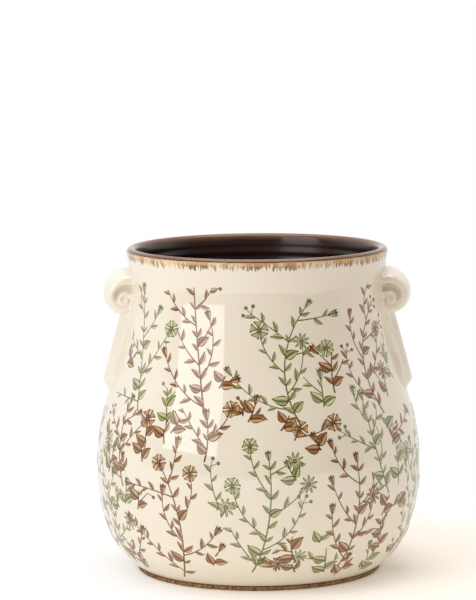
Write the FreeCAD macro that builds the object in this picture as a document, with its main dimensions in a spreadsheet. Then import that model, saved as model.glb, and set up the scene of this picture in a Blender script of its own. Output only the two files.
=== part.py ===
import FreeCAD, Part
import math
import os
import Sketcher

# A round-bellied stoneware crock on a bare foot ring: a clay pot, two scroll
# handles luted to its sides, and the fired coats that cover the clay.
# Millimetres, +Z up. The origin is the middle of the foot, on the table.

SIZES = [
    # heights, each counted from the one before it
    ("foot_height", 2.8, "table to the lower edge of the outer coat"),
    ("turn_rise", 22.8, "foot edge to where the tight foot turn eases"),
    ("belly_rise", 31.6, "end of the foot turn to the widest ring"),
    ("shoulder_rise", 45.6, "widest ring to where the bulge turns hollow"),
    ("neck_rise", 56.2, "shoulder to the narrowest ring"),
    ("lip_rise", 19.0, "neck to the top of the lip"),
    # radii, and how far one ring stands in or out from another
    ("belly_radius", 89.0, "widest ring"),
    ("neck_inset", 19.1, "neck inside the widest ring"),
    ("lip_flare", 1.7, "lip outside the neck"),
    ("foot_inset", 21.9, "foot edge inside the widest ring"),
    ("foot_slope", 55.0, "lean of the wall at the foot, degrees from upright"),
    # wall, floor and coats
    ("wall", 5.5, "wall with its coats"),
    ("coat", 0.6, "one fired coat"),
    ("floor", 6.0, "clay floor over the hollow of the foot"),
    ("floor_corner", 14.0, "round between floor and wall, inside"),
    ("foot_hollow", 2.5, "depth of the hollow inside the foot ring"),
    ("foot_ring", 8.0, "width of the foot ring"),
    ("foot_break", 0.7, "broken outer edge of the foot ring"),
    ("lip_band", 7.5, "top of the lip to the lower edge of the brown band"),
    # handles
    ("handle_gap", 4.0, "brown band to the top of the scroll"),
    ("scroll_reach", 14.2, "scroll out from the neck"),
    ("scroll_top", 13.8, "radius of the upper scroll"),
    ("scroll_low", 12.0, "radius of the lower scroll"),
    ("scroll_rim", 5.6, "rim of the scroll around its groove"),
    ("scroll_eye", 3.4, "radius of the eye of the scroll"),
    ("scroll_groove", 3.0, "depth of the groove in the scroll"),
    ("handle_width", 40.0, "across the scroll"),
    ("handle_crown", 60.0, "plan radius of the face of the handle"),
    ("strap", 6.0, "strap proud of the wall"),
    ("toe_rise", 4.8, "shoulder to the middle of the round toe of the strap"),
    ("tip_radius", 14.0, "round tip of the strap"),
]


class Measure:
    """A length, with the rule in names of sizes that it comes from."""

    def __init__(self, number, rule):
        self.number = number
        self.rule = rule

    def __add__(self, other):
        return Measure(self.number + other.number, f"{self.rule} + {other.rule}")

    def __sub__(self, other):
        return Measure(self.number - other.number, f"{self.rule} - ({other.rule})")

    def half(self):
        return Measure(self.number / 2, f"({self.rule}) / 2")


SIZE = {name: Measure(number, "Sizes." + name) for name, number, note in SIZES}

# heights and radii that follow from the sizes
FOOT_Z = SIZE["foot_height"]
TURN_Z = FOOT_Z + SIZE["turn_rise"]
BELLY_Z = TURN_Z + SIZE["belly_rise"]
SHOULDER_Z = BELLY_Z + SIZE["shoulder_rise"]
NECK_Z = SHOULDER_Z + SIZE["neck_rise"]
TOP_Z = NECK_Z + SIZE["lip_rise"]
BAND_Z = TOP_Z - SIZE["lip_band"]
SCROLL_Z = BAND_Z - SIZE["handle_gap"] - SIZE["scroll_top"]
TOE_Z = SHOULDER_Z + SIZE["toe_rise"]
FLOOR_Z = SIZE["foot_hollow"] + SIZE["floor"]
BELLY_R = SIZE["belly_radius"]
NECK_R = BELLY_R - SIZE["neck_inset"]
LIP_R = NECK_R + SIZE["lip_flare"]
FOOT_R = BELLY_R - SIZE["foot_inset"]
REACH_R = NECK_R + SIZE["scroll_reach"]
COAT = SIZE["coat"]
WALL = SIZE["wall"]
CLAY_INSIDE = WALL - COAT

# the bends of the outside from foot to lip, and whether each bulges outward
BENDS = {"turn": True, "lower": True, "upper": True, "hollow": False, "flare": False}
ORIGIN = (-1, 1)


class Outline:
    """A sketch on an origin plane of its body, with short names for its ties."""

    def __init__(self, body, role, name):
        plane = [part for part in body.Origin.OriginFeatures if part.Role == role][0]
        self.sketch = body.newObject("Sketcher::SketchObject", name)
        self.sketch.AttachmentSupport = [(plane, "")]
        self.sketch.MapMode = "FlatFace"

    def line(self, start, end, helper=False):
        segment = Part.LineSegment(FreeCAD.Vector(*start, 0), FreeCAD.Vector(*end, 0))
        return self.sketch.addGeometry(segment, helper)

    def arc(self, centre, start, end, helper=False):
        """An arc that runs counter-clockwise from start to end."""
        first = math.atan2(start[1] - centre[1], start[0] - centre[0])
        last = math.atan2(end[1] - centre[1], end[0] - centre[0])
        if last <= first:
            last += 2 * math.pi
        circle = Part.Circle(FreeCAD.Vector(*centre, 0), FreeCAD.Vector(0, 0, 1), math.dist(centre, start))
        return self.sketch.addGeometry(Part.ArcOfCircle(circle, first, last), helper)

    def tie(self, kind, *parts):
        return self.sketch.addConstraint(Sketcher.Constraint(kind, *parts))

    def meet(self, a, b):
        self.tie("Coincident", *a, *b)

    def flow(self, a, b):
        """Two ends meet and run on smoothly."""
        self.tie("Tangent", *a, *b)

    def on(self, point, curve):
        self.tie("PointOnObject", *point, curve)

    def on_table(self, point):
        self.on(point, -1)

    def on_axis(self, point):
        self.on(point, -2)

    def centred(self, line):
        """The ends of a line lie alike on both sides of the upright axis."""
        self.tie("Symmetric", line, 1, line, 2, -2)

    def level(self, a, b):
        self.tie("Horizontal", *a, *b)

    def plumb(self, a, b):
        self.tie("Vertical", *a, *b)

    def drive(self, kind, *parts_and_measure):
        """A size of the sketch that follows a measure."""
        *parts, measure = parts_and_measure
        number = self.tie(kind, *parts, measure.number)
        self.sketch.setExpression(f"Constraints[{number}]", measure.rule)

    def out(self, point, measure):
        self.drive("DistanceX", *ORIGIN, *point, measure)

    def up(self, point, measure):
        self.drive("DistanceY", *ORIGIN, *point, measure)

    def apart(self, a, b, measure):
        self.drive("Distance", *a, *b, measure)

    def radius(self, curve, measure):
        self.drive("Radius", curve, measure)

    def floor_line(self, end):
        """A level line from an end to the axis. Gives its end on the axis."""
        height = self.sketch.getPoint(*end)
        line = self.line((height.x, height.y), (0, height.y))
        self.meet((line, 1), end)
        self.level((line, 1), (line, 2))
        self.on_axis((line, 2))
        return (line, 2)

    def link(self, a, b):
        """A straight line from one end to another."""
        start, end = self.sketch.getPoint(*a), self.sketch.getPoint(*b)
        line = self.line((start.x, start.y), (end.x, end.y))
        self.meet((line, 1), a)
        self.meet((line, 2), b)
        return line


def low(bend, arc):
    return (arc, 1 if BENDS[bend] else 2)


def high(bend, arc):
    return (arc, 2 if BENDS[bend] else 1)


def centre_of(arc):
    return (arc, 3)


def circle_from(point, other, lean):
    """Centre of the circle through two points whose normal at the first leans so."""
    dx, dz = point[0] - other[0], point[1] - other[1]
    normal = (math.cos(lean), -math.sin(lean))
    reach = (dx * dx + dz * dz) / (2 * (dx * normal[0] + dz * normal[1]))
    return (point[0] - reach * normal[0], point[1] - reach * normal[1])


def skin_shape():
    """Centre, low end and high end of each bend of the outside."""
    lean = math.radians(SIZE["foot_slope"].number)
    foot = (FOOT_R.number, FOOT_Z.number)
    belly = (BELLY_R.number, BELLY_Z.number)
    neck = (NECK_R.number, NECK_Z.number)

    # the two lower bends join on a circle through the foot and the widest ring
    chord = math.dist(foot, belly)
    along = ((belly[0] - foot[0]) / chord, (belly[1] - foot[1]) / chord)
    set_back = chord / 2 / math.tan(lean / 2)
    join_x = (foot[0] + belly[0]) / 2 - along[1] * set_back
    join_z = (foot[1] + belly[1]) / 2 + along[0] * set_back
    join_radius = chord / 2 / math.sin(lean / 2)
    turn_end = (join_x + math.sqrt(join_radius**2 - (TURN_Z.number - join_z) ** 2), TURN_Z.number)

    # the bulge and the hollow above it share the line from belly to neck
    share = (SHOULDER_Z.number - belly[1]) / (neck[1] - belly[1])
    shoulder = (belly[0] + share * (neck[0] - belly[0]), SHOULDER_Z.number)

    # the flare is set so that the round lip just reaches its radius and height
    lip = (LIP_R.number - WALL.number / 2, TOP_Z.number - WALL.number / 2)
    rise, run = lip[1] - neck[1], SIZE["lip_flare"].number
    flare_radius = (rise**2 + run**2) / (2 * run) - WALL.number / 2
    flare_centre = (neck[0] + flare_radius, neck[1])
    pull = flare_radius / math.dist(flare_centre, lip)
    edge = (flare_centre[0] + pull * (lip[0] - flare_centre[0]), neck[1] + pull * rise)

    return {
        "turn": (circle_from(foot, turn_end, lean), foot, turn_end),
        "lower": (circle_from(belly, turn_end, 0), turn_end, belly),
        "upper": (circle_from(belly, shoulder, 0), belly, shoulder),
        "hollow": (circle_from(neck, shoulder, 0), shoulder, neck),
        "flare": (flare_centre, neck, edge),
    }, lip


def draw_bend(outline, bend, centre, low_end, high_end, helper=False):
    ends = (low_end, high_end) if BENDS[bend] else (high_end, low_end)
    return outline.arc(centre, *ends, helper)


class Skin:
    """Helper arcs of the outside of the pot, tied to the sizes."""

    def __init__(self, outline):
        self.outline = outline
        self.shape, lip = skin_shape()
        self.arcs = {bend: draw_bend(outline, bend, *ends, True) for bend, ends in self.shape.items()}
        arcs = self.arcs
        names = list(arcs)
        for lower, upper in zip(names, names[1:]):
            outline.flow(high(lower, arcs[lower]), low(upper, arcs[upper]))

        belly = high("lower", arcs["lower"])
        outline.out(belly, BELLY_R)
        outline.up(belly, BELLY_Z)
        outline.level(centre_of(arcs["lower"]), belly)
        neck = high("hollow", arcs["hollow"])
        outline.out(neck, NECK_R)
        outline.up(neck, NECK_Z)
        outline.level(centre_of(arcs["hollow"]), neck)
        outline.up(high("upper", arcs["upper"]), SHOULDER_Z)
        foot = low("turn", arcs["turn"])
        outline.out(foot, FOOT_R)
        outline.up(foot, FOOT_Z)
        outline.up(high("turn", arcs["turn"]), TURN_Z)

        # lines square to the wall, on which the coats and the clay end
        self.foot_square = self.square("turn", self.shape["turn"][1])
        outline.meet((self.foot_square, 1), foot)
        slope = Measure(math.pi - math.radians(SIZE["foot_slope"].number), "180 deg - Sizes.foot_slope * 1 deg")
        outline.drive("Angle", self.foot_square, slope)
        self.lip_square = self.square("flare", self.shape["flare"][2])
        outline.meet((self.lip_square, 1), high("flare", arcs["flare"]))
        middle = outline.sketch.addGeometry(Part.Point(FreeCAD.Vector(*lip, 0)), True)
        outline.out((middle, 1), LIP_R - WALL.half())
        outline.up((middle, 1), TOP_Z - WALL.half())
        outline.on((middle, 1), self.lip_square)
        outline.apart((middle, 1), (self.lip_square, 1), WALL.half())

    def square(self, bend, point):
        """A helper line from a point of a bend to the centre of the bend."""
        line = self.outline.line(point, self.shape[bend][0], True)
        self.outline.meet((line, 2), centre_of(self.arcs[bend]))
        return line

    def band_square(self):
        """The line square to the flare at the lower edge of the brown band."""
        centre, neck, edge = self.shape["flare"]
        rise = BAND_Z.number - centre[1]
        run = math.sqrt(math.dist(centre, neck) ** 2 - rise**2)
        line = self.square("flare", (centre[0] - run, BAND_Z.number))
        self.outline.on((line, 1), self.arcs["flare"])
        self.outline.up((line, 1), BAND_Z)
        return line

    def sunk(self, bend, point, depth):
        """A point of a bend, moved into the wall by a depth."""
        centre = self.shape[bend][0]
        radius = math.dist(centre, point)
        pull = (radius - depth if BENDS[bend] else radius + depth) / radius
        return tuple(c + pull * (p - c) for c, p in zip(centre, point))

    def run(self, bends, depth, low_point=None, high_point=None):
        """Arcs that follow the outside at a depth. Gives them by bend."""
        arcs = {}
        for bend in bends:
            centre, start, end = self.shape[bend]
            if low_point and bend == bends[0]:
                start = low_point
            if high_point and bend == bends[-1]:
                end = high_point
            ends = [self.sunk(bend, point, depth) for point in (start, end)]
            arcs[bend] = draw_bend(self.outline, bend, centre, *ends)
            self.outline.meet(centre_of(arcs[bend]), centre_of(self.arcs[bend]))
        for lower, upper in zip(bends, bends[1:]):
            self.outline.flow(high(lower, arcs[lower]), low(upper, arcs[upper]))
        return arcs

    def at_depth(self, point, square, depth):
        """Puts an end on a square line, at a depth under the outside."""
        self.outline.on(point, square)
        self.outline.apart(point, (square, 1), depth)

    def clay_face(self):
        """The whole outer face of the clay, from the foot to the lip."""
        arcs = self.run(list(BENDS), COAT.number)
        self.at_depth(low("turn", arcs["turn"]), self.foot_square, COAT)
        self.outline.on(high("flare", arcs["flare"]), self.lip_square)
        return low("turn", arcs["turn"]), high("flare", arcs["flare"])

    def inside_face(self, depth, floor, corner):
        """Inner face from the floor to the lip. Gives its ends at axis and lip."""
        outline = self.outline
        centre = self.shape["turn"][0]
        reach = math.dist(centre, self.shape["turn"][1]) - depth.number
        drop = floor.number + corner.number - centre[1]
        run = math.sqrt((reach - corner.number) ** 2 - drop**2)
        middle = (centre[0] + run, centre[1] + drop)
        pull = reach / (reach - corner.number)
        join = (centre[0] + pull * run, centre[1] + pull * drop)
        pull = (reach + depth.number) / reach
        over_join = (centre[0] + pull * (join[0] - centre[0]), centre[1] + pull * (join[1] - centre[1]))

        arcs = self.run(list(BENDS), depth.number, low_point=over_join)
        lip = high("flare", arcs["flare"])
        self.at_depth(lip, self.lip_square, depth)
        round_in = outline.arc(middle, (middle[0], floor.number), join)
        outline.flow((round_in, 2), low("turn", arcs["turn"]))
        outline.plumb((round_in, 3), (round_in, 1))
        outline.up((round_in, 1), floor)
        outline.radius(round_in, corner)
        return outline.floor_line((round_in, 1)), lip


def half_ring(outline, start, end):
    """The round over the lip, from the outer end to the inner end."""
    first, last = outline.sketch.getPoint(*start), outline.sketch.getPoint(*end)
    middle = ((first.x + last.x) / 2, (first.y + last.y) / 2)
    return outline.arc(middle, (first.x, first.y), (last.x, last.y))


def turned(body, outline, name):
    """The section, turned once around the axis of the pot."""
    feature = body.newObject("PartDesign::Revolution", name)
    feature.Profile = outline.sketch
    feature.ReferenceAxis = (outline.sketch, ["V_Axis"])
    feature.Angle = 360
    return feature


def new_body(doc, label):
    body = doc.addObject("PartDesign::Body", label)
    body.Label = label
    return body


def clay_body(doc):
    """The thrown pot: foot ring, floor, wall and round lip in one clay."""
    body = new_body(doc, "clay_body")
    outline = Outline(body, "XZ_Plane", "pot_section")
    skin = Skin(outline)
    foot, lip_out = skin.clay_face()
    floor_end, lip_in = skin.inside_face(CLAY_INSIDE, FLOOR_Z, SIZE["floor_corner"])
    lip = half_ring(outline, lip_out, lip_in)
    outline.flow((lip, 1), lip_out)
    outline.meet((lip, 2), lip_in)

    # foot ring and the hollow inside it
    ring = outline.sketch.getPoint(*foot)
    hollow, width = SIZE["foot_hollow"].number, SIZE["foot_ring"].number
    cut = SIZE["foot_break"].number
    points = [(0, hollow), (ring.x - width, hollow), (ring.x - width, 0), (ring.x - cut, 0), (ring.x, cut)]
    points.append((ring.x, ring.y))
    lines = [outline.line(start, end) for start, end in zip(points, points[1:])]
    for first, second in zip(lines, lines[1:]):
        outline.meet((first, 2), (second, 1))
    roof, inner, sole, bevel, outer = lines
    for line in (roof, sole):
        outline.level((line, 1), (line, 2))
    for line in (inner, outer):
        outline.plumb((line, 1), (line, 2))
    outline.meet((outer, 2), foot)
    outline.on_axis((roof, 1))
    outline.up((roof, 1), SIZE["foot_hollow"])
    outline.on_table((inner, 2))
    outline.drive("DistanceX", inner, 2, outer, 1, SIZE["foot_ring"])
    outline.drive("DistanceX", bevel, 1, bevel, 2, SIZE["foot_break"])
    outline.drive("DistanceY", bevel, 1, bevel, 2, SIZE["foot_break"])
    outline.link(floor_end, (roof, 1))
    doc.recompute()
    turned(body, outline, "pot")
    return body


def liner_glaze(doc):
    """The dark coat inside, which rolls over the lip and ends at its outer edge."""
    body = new_body(doc, "liner_glaze")
    outline = Outline(body, "XZ_Plane", "liner_section")
    skin = Skin(outline)
    clay_floor, clay_lip = skin.inside_face(CLAY_INSIDE, FLOOR_Z, SIZE["floor_corner"])
    top_floor, top_lip = skin.inside_face(WALL, FLOOR_Z + COAT, SIZE["floor_corner"] - COAT)
    edge = (skin.lip_square, 1)
    sunk_edge = skin.sunk("flare", skin.shape["flare"][2], COAT.number)
    over = half_ring(outline, edge, top_lip)
    outline.meet((over, 1), edge)
    outline.flow((over, 2), top_lip)
    end = outline.sketch.getPoint(*clay_lip)
    middle = ((sunk_edge[0] + end.x) / 2, (sunk_edge[1] + end.y) / 2)
    under = outline.arc(middle, sunk_edge, (end.x, end.y))
    outline.flow((under, 2), clay_lip)
    skin.at_depth((under, 1), skin.lip_square, COAT)
    outline.link((over, 1), (under, 1))
    outline.link(clay_floor, top_floor)
    doc.recompute()
    turned(body, outline, "liner")
    return body


def outside_coat(doc, label, from_foot):
    """A coat on the outer face: foot to brown band, or the brown band itself."""
    body = new_body(doc, label)
    outline = Outline(body, "XZ_Plane", label + "_section")
    skin = Skin(outline)
    band = skin.band_square()
    line = outline.sketch.getPoint(band, 1)
    at_band = (line.x, line.y)
    bends = list(BENDS) if from_foot else ["flare"]
    low_square = skin.foot_square if from_foot else band
    high_square = band if from_foot else skin.lip_square
    ends = {"high_point": at_band} if from_foot else {"low_point": at_band}
    face = skin.run(bends, 0.0, **ends)
    back = skin.run(bends, COAT.number, **ends)
    first, last = bends[0], bends[-1]
    outline.meet(low(first, face[first]), (low_square, 1))
    outline.on(high(last, face[last]), high_square)
    skin.at_depth(low(first, back[first]), low_square, COAT)
    outline.on(high(last, back[last]), high_square)
    outline.link(low(first, face[first]), low(first, back[first]))
    outline.link(high(last, face[last]), high(last, back[last]))
    doc.recompute()
    turned(body, outline, label + "_coat")
    return body


def scroll_side(body):
    """Side view of the handle: scroll above, strap down the wall below."""
    outline = Outline(body, "XZ_Plane", "side_view")
    reach, level = REACH_R.number, SCROLL_Z.number
    top_radius, low_radius = SIZE["scroll_top"].number, SIZE["scroll_low"].number
    axis_x = reach - SIZE["handle_crown"].number
    axis_low = TOE_Z.number - SIZE["strap"].number
    axis = outline.line((axis_x, axis_low), (axis_x, level + top_radius), True)

    # the strap lies proud of the hollow of the wall and ends in a round toe
    skin = Skin(outline)
    proud = SIZE["strap"].number
    hollow, shoulder, neck = skin.shape["hollow"]
    rise = TOE_Z.number - hollow[1]
    toe = (hollow[0] - math.sqrt(math.dist(hollow, neck) ** 2 - rise**2), TOE_Z.number)
    strap = skin.run(["hollow"], -proud, low_point=toe)["hollow"]
    strap_low = skin.sunk("hollow", toe, -proud)
    round_toe = outline.arc(toe, (toe[0], toe[1] - proud), strap_low)
    outline.on((round_toe, 3), skin.arcs["hollow"])
    outline.up((round_toe, 3), TOE_Z)
    outline.radius(round_toe, SIZE["strap"])
    outline.plumb((round_toe, 3), (round_toe, 1))
    outline.flow((round_toe, 2), low("hollow", strap))

    # where the underside of the scroll meets the face of the strap
    centre = (reach - low_radius, level)
    hollow_radius = math.dist(hollow, strap_low)
    span = math.dist(centre, hollow)
    along = (span**2 + low_radius**2 - hollow_radius**2) / (2 * span)
    aside = math.sqrt(low_radius**2 - along**2)
    unit = ((hollow[0] - centre[0]) / span, (hollow[1] - centre[1]) / span)
    crook = (centre[0] + along * unit[0] + aside * unit[1], centre[1] + along * unit[1] - aside * unit[0])

    under = outline.arc(centre, crook, (reach, level))
    over = outline.arc((reach - top_radius, level), (reach, level), (reach - top_radius, level + top_radius))
    outline.flow((under, 2), (over, 1))
    outline.out((over, 1), REACH_R)
    outline.up((over, 1), SCROLL_Z)
    outline.level((over, 3), (over, 1))
    outline.plumb((over, 3), (over, 2))
    outline.radius(over, SIZE["scroll_top"])
    outline.radius(under, SIZE["scroll_low"])
    outline.meet((under, 1), high("hollow", strap))

    # back to the plan centre of the face, deep inside the pot
    outline.out((axis, 1), REACH_R - SIZE["handle_crown"])
    outline.plumb((axis, 1), (axis, 2))
    outline.level((axis, 1), (round_toe, 1))
    outline.level((axis, 2), (over, 2))
    outline.link((over, 2), (axis, 2))
    outline.link((axis, 2), (axis, 1))
    outline.link((axis, 1), (round_toe, 1))
    return outline


def strap_front(body):
    """Front view of what the handle leaves out: all but a tapering tongue."""
    outline = Outline(body, "YZ_Plane", "front_view")
    side, bottom, top = BELLY_R.number, FOOT_Z.number, TOP_Z.number
    corners = [(-side, bottom), (side, bottom), (side, top), (-side, top)]
    frame = [outline.line(a, b) for a, b in zip(corners, corners[1:] + corners[:1])]
    for first, second in zip(frame, frame[1:] + frame[:1]):
        outline.meet((first, 2), (second, 1))
    for line in frame[0::2]:
        outline.level((line, 1), (line, 2))
    for line in frame[1::2]:
        outline.plumb((line, 1), (line, 2))
    outline.out((frame[1], 1), BELLY_R)
    outline.drive("DistanceX", frame[0], 1, frame[0], 2, BELLY_R + BELLY_R)
    outline.up((frame[0], 1), FOOT_Z)
    outline.up((frame[2], 1), TOP_Z)

    # the tongue: straight beside the scroll, tapering to a round tip
    half, over = SIZE["handle_width"].number / 2, BAND_Z.number
    waist = SCROLL_Z - SIZE["scroll_low"]
    tip = TOE_Z - SIZE["strap"] + SIZE["tip_radius"]
    tip_radius = SIZE["tip_radius"].number
    span = math.hypot(half, waist.number - tip.number)
    angle = math.atan2(waist.number - tip.number, half) - math.acos(tip_radius / span)
    touch = (tip_radius * math.cos(angle), tip.number + tip_radius * math.sin(angle))
    across = outline.line((-half, over), (half, over))
    right = outline.line((half, over), (half, waist.number))
    right_taper = outline.line((half, waist.number), touch)
    left_taper = outline.line((-touch[0], touch[1]), (-half, waist.number))
    left = outline.line((-half, waist.number), (-half, over))
    end = outline.arc((0, tip.number), (-touch[0], touch[1]), touch)
    for first, second in ((across, right), (right, right_taper), (left_taper, left), (left, across)):
        outline.meet((first, 2), (second, 1))
    outline.flow((right_taper, 2), (end, 2))
    outline.flow((left_taper, 1), (end, 1))
    outline.centred(across)
    outline.drive("DistanceX", across, 1, across, 2, SIZE["handle_width"])
    outline.up((across, 1), BAND_Z)
    for line in (right, left):
        outline.plumb((line, 1), (line, 2))
    outline.level((right, 2), (left, 1))
    outline.up((right, 2), waist)
    outline.on_axis((end, 3))
    outline.up((end, 3), tip)
    outline.radius(end, SIZE["tip_radius"])
    return outline


def scroll_groove(body):
    """The groove that winds around the eye on one end of the scroll."""
    outline = Outline(body, "XZ_Plane", "groove_view")
    half = SIZE["handle_width"].half()
    outline.sketch.AttachmentOffset = FreeCAD.Placement(FreeCAD.Vector(0, 0, half.number), FreeCAD.Rotation())
    outline.sketch.setExpression("AttachmentOffset.Base.z", half.rule)
    level = SCROLL_Z.number
    low_radius, top_radius = SIZE["scroll_low"].number, SIZE["scroll_top"].number
    rim, eye = SIZE["scroll_rim"].number, SIZE["scroll_eye"].number
    low_x, top_x = REACH_R.number - low_radius, REACH_R.number - top_radius
    side = (low_x + low_radius - rim, level)
    crest = (top_x, level + top_radius - rim)
    span = math.dist(crest, (low_x, level))
    eye_top = (low_x + eye * (crest[0] - low_x) / span, level + eye * (crest[1] - level) / span)

    under = outline.arc((low_x, level), (low_x, level - low_radius + rim), side)
    over = outline.arc((top_x, level), side, crest)
    inner = outline.arc((low_x, level), (low_x, level - eye), eye_top)
    outline.out((under, 3), REACH_R - SIZE["scroll_low"])
    outline.up((under, 3), SCROLL_Z)
    outline.radius(under, SIZE["scroll_low"] - SIZE["scroll_rim"])
    outline.level((under, 3), (under, 2))
    outline.plumb((under, 3), (under, 1))
    outline.flow((under, 2), (over, 1))
    outline.radius(over, SIZE["scroll_top"] - SIZE["scroll_rim"])
    outline.plumb((over, 3), (over, 2))
    outline.meet((inner, 3), (under, 3))
    outline.radius(inner, SIZE["scroll_eye"])
    outline.plumb((inner, 3), (inner, 1))
    outline.link((inner, 1), (under, 1))
    crossing = outline.link((inner, 2), (over, 2))
    outline.on((inner, 3), crossing)
    return outline


def handle(doc, label, turn):
    """One handle: a crowned strap whose top rolls outward, seated on the clay."""
    body = new_body(doc, label)
    side = scroll_side(body)
    doc.recompute()
    block = body.newObject("PartDesign::Revolution", label + "_crown")
    block.Profile = side.sketch
    block.ReferenceAxis = (side.sketch, ["Axis0"])
    block.Angle = 90
    block.Midplane = True

    seat_view = Outline(body, "XZ_Plane", "seat_view")
    foot, lip = Skin(seat_view).clay_face()
    seat_view.link(seat_view.floor_line(foot), seat_view.floor_line(lip))
    doc.recompute()
    seat = body.newObject("PartDesign::Groove", label + "_seat")
    seat.Profile = seat_view.sketch
    seat.ReferenceAxis = (seat_view.sketch, ["V_Axis"])
    seat.Angle = 360

    front = strap_front(body)
    doc.recompute()
    tongue = body.newObject("PartDesign::Pocket", label + "_tongue")
    tongue.Profile = front.sketch
    tongue.Type = "ThroughAll"
    tongue.SideType = "Symmetric"

    groove_view = scroll_groove(body)
    doc.recompute()
    groove = body.newObject("PartDesign::Pocket", label + "_groove")
    groove.Profile = groove_view.sketch
    groove.Type = "Length"
    groove.setExpression("Length", "Sizes.scroll_groove")
    doc.recompute()
    plane = [part for part in body.Origin.OriginFeatures if part.Role == "XZ_Plane"][0]
    both = body.newObject("PartDesign::Mirrored", label + "_grooves")
    both.Originals = [groove]
    both.MirrorPlane = (plane, [""])
    body.Tip = both
    body.Placement = FreeCAD.Placement(FreeCAD.Vector(), FreeCAD.Rotation(FreeCAD.Vector(0, 0, 1), turn))
    doc.recompute()
    return body


def main():
    doc = FreeCAD.newDocument("crock")
    sheet = doc.addObject("Spreadsheet::Sheet", "Sizes")
    for row, (name, number, note) in enumerate(SIZES, 1):
        sheet.set(f"A{row}", name)
        sheet.set(f"B{row}", str(number))
        sheet.set(f"C{row}", note)
        sheet.setAlias(f"B{row}", name)
    doc.recompute()

    nodes = {"clay_body": clay_body(doc), "liner_glaze": liner_glaze(doc)}
    nodes["lip_band"] = outside_coat(doc, "lip_band", from_foot=False)
    nodes["right_handle"] = handle(doc, "right_handle", 0)
    nodes["left_handle"] = handle(doc, "left_handle", 180)

    # the outer coat stops around the roots of the handles
    whole = outside_coat(doc, "whole_coat", from_foot=True)
    roots = doc.addObject("Part::Compound", "handle_roots")
    roots.Links = [nodes["right_handle"], nodes["left_handle"]]
    coat = doc.addObject("Part::Cut", "outer_glaze")
    coat.Label = "outer_glaze"
    coat.Base = whole
    coat.Tool = roots
    nodes["outer_glaze"] = coat
    doc.recompute()

    for item in doc.Objects:
        if "Invalid" in item.State or "Error" in item.State:
            raise RuntimeError(f"{item.Label} did not build: {item.State}")
    os.makedirs("parts", exist_ok=True)
    for name, node in nodes.items():
        if node.Shape.isNull() or not node.Shape.isValid() or len(node.Shape.Solids) != 1:
            raise RuntimeError(f"{name} is not one sound solid")
        node.Shape.exportStep(f"parts/{name}.step")


main()
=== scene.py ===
import itertools
import math
import random

import bpy
from mathutils import Matrix, Vector

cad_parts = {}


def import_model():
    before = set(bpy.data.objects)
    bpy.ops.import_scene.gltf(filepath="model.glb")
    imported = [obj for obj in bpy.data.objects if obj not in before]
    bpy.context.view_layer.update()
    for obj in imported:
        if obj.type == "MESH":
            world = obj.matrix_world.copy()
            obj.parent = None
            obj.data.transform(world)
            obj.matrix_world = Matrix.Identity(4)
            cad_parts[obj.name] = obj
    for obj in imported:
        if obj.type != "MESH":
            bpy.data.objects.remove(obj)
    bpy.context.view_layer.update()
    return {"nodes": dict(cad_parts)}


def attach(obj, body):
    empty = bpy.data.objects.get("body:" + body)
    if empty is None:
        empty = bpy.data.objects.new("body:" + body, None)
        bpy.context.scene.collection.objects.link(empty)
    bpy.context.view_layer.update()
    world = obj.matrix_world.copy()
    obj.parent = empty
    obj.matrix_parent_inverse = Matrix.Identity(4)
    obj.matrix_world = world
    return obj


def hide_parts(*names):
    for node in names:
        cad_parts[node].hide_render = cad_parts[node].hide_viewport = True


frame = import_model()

MM = 0.001


def mm(*values):
    """Millimetres as metres."""
    return tuple(value * MM for value in values)


# driving dimensions of the pot, in metres, as the part's own
FOOT_RADIUS, FOOT_EDGE = mm(67.1, 2.8)
FOOT_LEAN = math.radians(55)
TURN_HEIGHT = 25.6 * MM
BELLY_RADIUS, BELLY_HEIGHT = mm(89, 57.2)
SHOULDER_HEIGHT = 102.8 * MM
NECK_RADIUS, NECK_HEIGHT = mm(69.9, 159)
LIP_RADIUS, TOP = mm(71.6, 178)
WALL, COAT = mm(5.5, 0.6)
FLOOR_HEIGHT, FLOOR_CORNER = mm(9.1, 13.4)
BAND_EDGE = 168.6 * MM

# the glaze lies a hair inside the hard outline, so that the print on it stays within
GLAZE_DEPTH = 0.1 * MM
LATHE_STEPS = 288


# bpy.ops helpers


def object_mode():
    if bpy.context.object and bpy.context.object.mode != "OBJECT":
        bpy.ops.object.mode_set(mode="OBJECT")


def deselect():
    object_mode()
    bpy.ops.object.select_all(action="DESELECT")


def choose(piece):
    """Makes a piece the only selected and active one."""
    deselect()
    piece.select_set(True)
    bpy.context.view_layer.objects.active = piece


def edit(piece):
    """Opens a piece in edit mode, with all of it selected."""
    choose(piece)
    bpy.ops.object.mode_set(mode="EDIT")
    bpy.ops.mesh.select_all(action="SELECT")


def face_outward(piece):
    edit(piece)
    bpy.ops.mesh.normals_make_consistent(inside=False)
    object_mode()


def join(pieces):
    """Joins pieces into the first of them."""
    choose(pieces[0])
    for piece in pieces:
        piece.select_set(True)
    bpy.ops.object.join()
    return bpy.context.object


def add_object(name, data):
    made = bpy.data.objects.new(name, data)
    bpy.context.scene.collection.objects.link(made)
    return made


def start_point(name, place):
    """A new piece in edit mode that is one selected point so far."""
    deselect()
    bpy.ops.mesh.primitive_plane_add(size=COAT)
    piece = bpy.context.object
    piece.name = name
    edit(piece)
    bpy.ops.mesh.merge(type="CENTER")
    bpy.ops.transform.translate(value=place)
    return piece


def add_modifier(piece, kind, **settings):
    modifier = piece.modifiers.new(kind.lower(), kind)
    for key, value in settings.items():
        setattr(modifier, key, value)
    choose(piece)
    bpy.ops.object.modifier_apply(modifier=modifier.name)


def smooth(piece, degrees=40):
    choose(piece)
    bpy.ops.object.shade_smooth_by_angle(angle=math.radians(degrees))


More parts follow.
